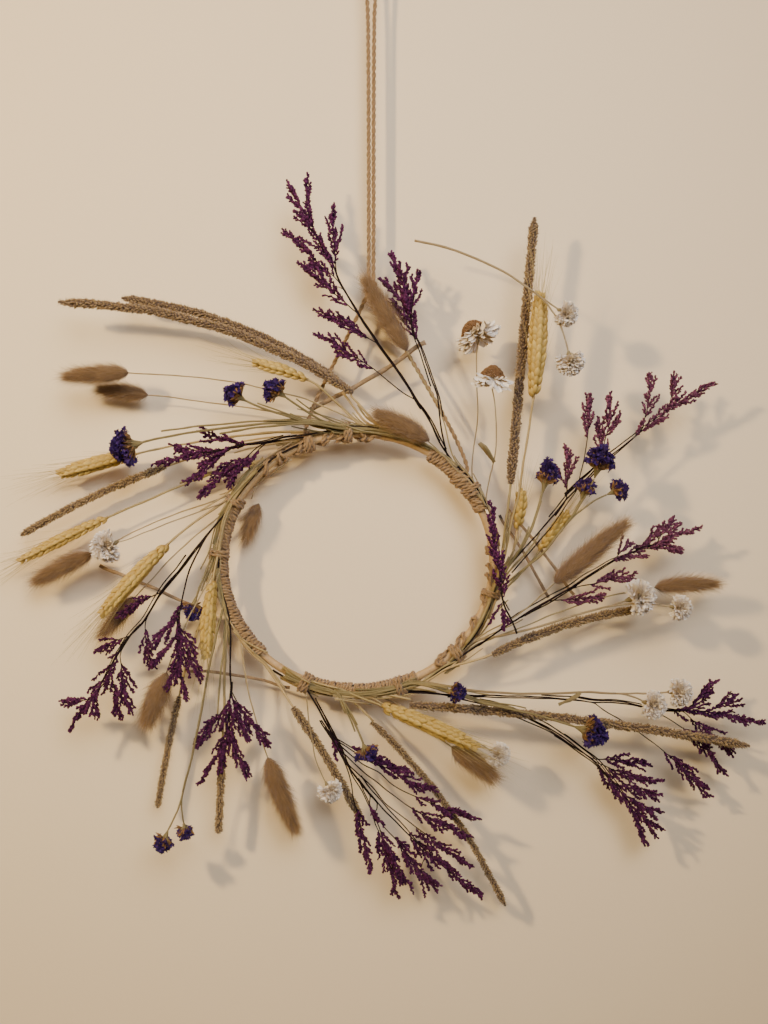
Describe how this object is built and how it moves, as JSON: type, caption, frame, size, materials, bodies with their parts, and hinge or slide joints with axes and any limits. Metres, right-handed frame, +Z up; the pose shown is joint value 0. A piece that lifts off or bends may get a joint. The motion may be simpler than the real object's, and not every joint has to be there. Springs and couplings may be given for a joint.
{
  "type": "dried flower wreath",
  "caption": "Hoop wreath of dried grasses, ears, statice and papery flowers bound on with jute twine, hung from a knotted twine loop on a two-legged bridle.",
  "frame": {"origin": "where the hanging loop bears on its nail, on the inside of the loop's crown", "axes": "+Z up along the hanging twine, +X to the right as the front is seen, +Y towards the wall behind"},
  "size_m": [0.5617, 0.0636, 0.7123],
  "materials": {
    "jute_twine": "hairy two-ply jute",
    "cane": "smooth pale rattan cane",
    "bunny_tail_fluff": "soft tan fluff",
    "grain_straw": "glossy dry straw and husk",
    "seed_spike": "rough brown seed husk",
    "sea_lavender": "dark dry stems with maroon buds",
    "statice_petal": "crinkled violet calyx with brown bases",
    "paper_petal": "papery white bracts with a tan centre",
    "brown_stalk": "matt brown cut stalk",
    "dry_leaf": "curled olive-brown leaf"
  },
  "bodies": {
    "hanging_cord": {"hanging_loop": "jute_twine"},
    "knot": {"hanging_knot": "jute_twine"},
    "wreath": {"bridle_hitches": "jute_twine", "bridle_leg_left": "jute_twine", "bridle_leg_right": "jute_twine", "bunch_ties": "jute_twine", "bunny_tail_hoop_inside": "bunny_tail_fluff", "bunny_tail_hoop_top": "bunny_tail_fluff", "bunny_tail_knot": "bunny_tail_fluff", "bunny_tail_lower_left": "bunny_tail_fluff", "bunny_tails_bottom": "bunny_tail_fluff", "bunny_tails_left": "bunny_tail_fluff", "bunny_tails_right": "bunny_tail_fluff", "bunny_tails_top_left": "bunny_tail_fluff", "cut_stalks": "brown_stalk", "dry_leaves": "dry_leaf", "grain_ear_bottom": "grain_straw", "grain_ear_hoop_left": "grain_straw", "grain_ear_left_lower": "grain_straw", "grain_ear_right_tall": "grain_straw", "grain_ear_top_left": "grain_straw", "grain_ears_left": "grain_straw", "grain_ears_right_rear": "grain_straw", "grass_spike_bottom_right": "seed_spike", "grass_spike_left_slim": "seed_spike", "grass_spike_right": "seed_spike", "grass_spike_right_tall": "seed_spike", "grass_spikes_bottom": "seed_spike", "grass_spikes_lower_left": "seed_spike", "grass_spikes_top_left": "seed_spike", "hoop_bands": "jute_twine", "hoop_cane": "cane", "hoop_windings": "jute_twine", "paper_flower_left": "paper_petal", "paper_flowers_bottom": "paper_petal", "paper_flowers_loose": "paper_petal", "paper_flowers_lower_right": "paper_petal", "paper_flowers_right": "paper_petal", "paper_flowers_upper": "paper_petal", "sea_lavender_bottom": "sea_lavender", "sea_lavender_bottom_right": "sea_lavender", "sea_lavender_far_right": "sea_lavender", "sea_lavender_hoop_right": "sea_lavender", "sea_lavender_knot": "sea_lavender", "sea_lavender_left": "sea_lavender", "sea_lavender_left_inner": "sea_lavender", "sea_lavender_lower_left": "sea_lavender", "sea_lavender_right": "sea_lavender", "sea_lavender_top": "sea_lavender", "sea_lavender_upper_left": "sea_lavender", "sea_lavender_upper_right": "sea_lavender", "statice_bottom": "statice_petal", "statice_bottom_right": "statice_petal", "statice_cluster_left": "statice_petal", "statice_cluster_right": "statice_petal", "statice_left": "statice_petal", "statice_right": "statice_petal", "statice_top_left": "statice_petal", "statice_upper_left": "statice_petal"}
  },
  "joints": [
    {"name": "cord_twist", "type": "hinge", "parent": "hanging_cord", "child": "knot", "pos_m": [0, 0, -0.236], "axis": [0, 0, 1], "range_deg": [-90, 90]},
    {"name": "bridle_swing", "type": "hinge", "parent": "knot", "child": "wreath", "pos_m": [0, 0, -0.236], "axis": [0, 1, 0], "range_deg": [-15, 15]}
  ]
}
